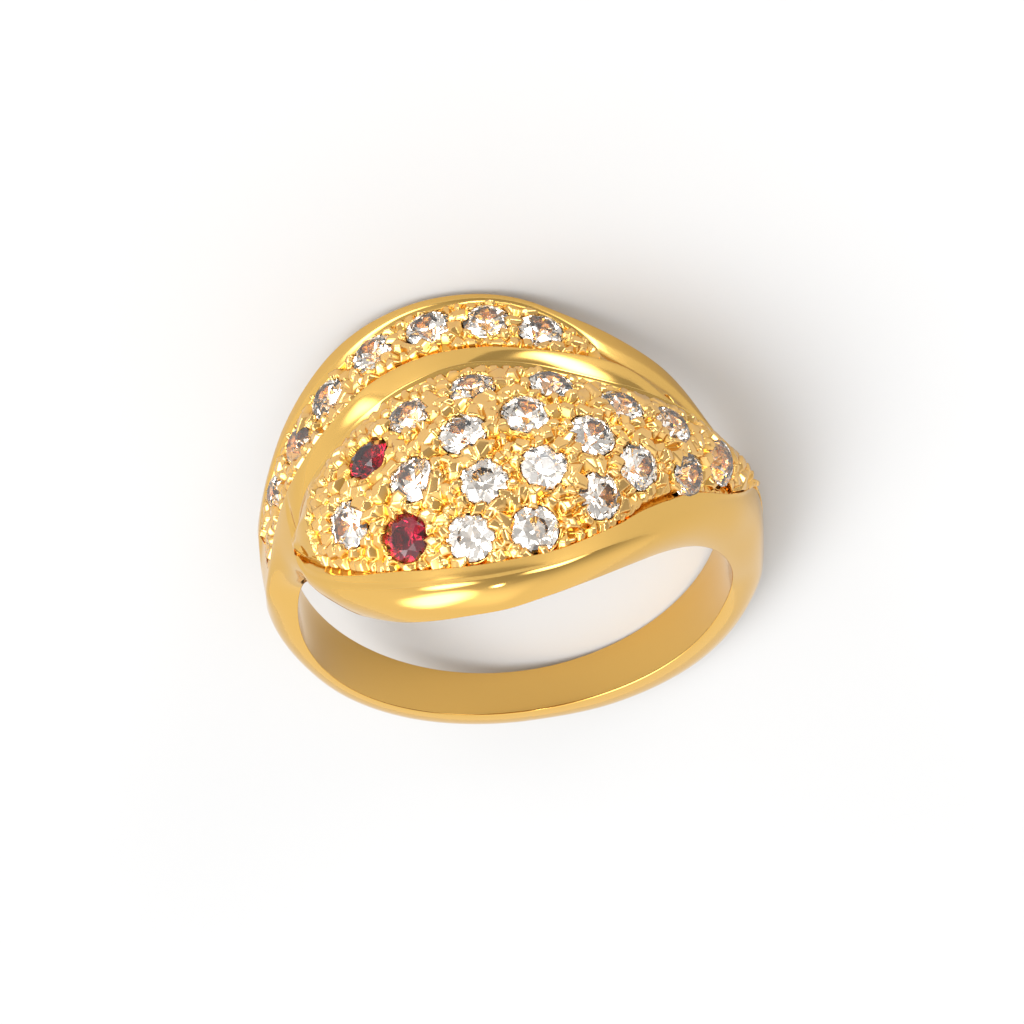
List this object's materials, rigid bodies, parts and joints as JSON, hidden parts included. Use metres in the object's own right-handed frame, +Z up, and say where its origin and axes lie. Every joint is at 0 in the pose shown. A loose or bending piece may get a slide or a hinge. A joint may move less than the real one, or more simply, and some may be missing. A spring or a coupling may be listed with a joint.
{
  "type": "finger ring",
  "caption": "Gold bypass finger ring with a domed, leaf-shaped stone-set head lying beside its own stone-set tail.",
  "frame": {"origin": "middle of the ring's outline as it lies on its side, on the surface that it lies on", "axes": "+Z up, away from that surface and roughly along the finger hole; the stone-set head faces -Y; +X to the right of a viewer who looks at the head along +Y"},
  "size_m": [0.0198, 0.0208, 0.0138],
  "materials": {
    "yellow_gold": "polished",
    "colourless_stone": "faceted",
    "red_stone": "faceted"
  },
  "bodies": {
    "root": {"band": "yellow_gold", "head_stone_01": "colourless_stone", "head_stone_02": "colourless_stone", "head_stone_03": "colourless_stone", "head_stone_04": "colourless_stone", "head_stone_05": "colourless_stone", "head_stone_06": "colourless_stone", "head_stone_07": "colourless_stone", "head_stone_08": "colourless_stone", "head_stone_09": "colourless_stone", "head_stone_10": "colourless_stone", "head_stone_11": "colourless_stone", "head_stone_12": "colourless_stone", "head_stone_13": "colourless_stone", "head_stone_14": "colourless_stone", "head_stone_15": "colourless_stone", "head_stone_16": "colourless_stone", "head_stone_17": "colourless_stone", "head_stone_18": "colourless_stone", "eye_stone_1": "red_stone", "eye_stone_2": "red_stone", "tail_stone_1": "colourless_stone", "tail_stone_2": "colourless_stone", "tail_stone_3": "colourless_stone", "tail_stone_4": "colourless_stone", "tail_stone_5": "colourless_stone", "tail_stone_6": "colourless_stone", "tail_stone_7": "colourless_stone"}
  },
  "joints": []
}
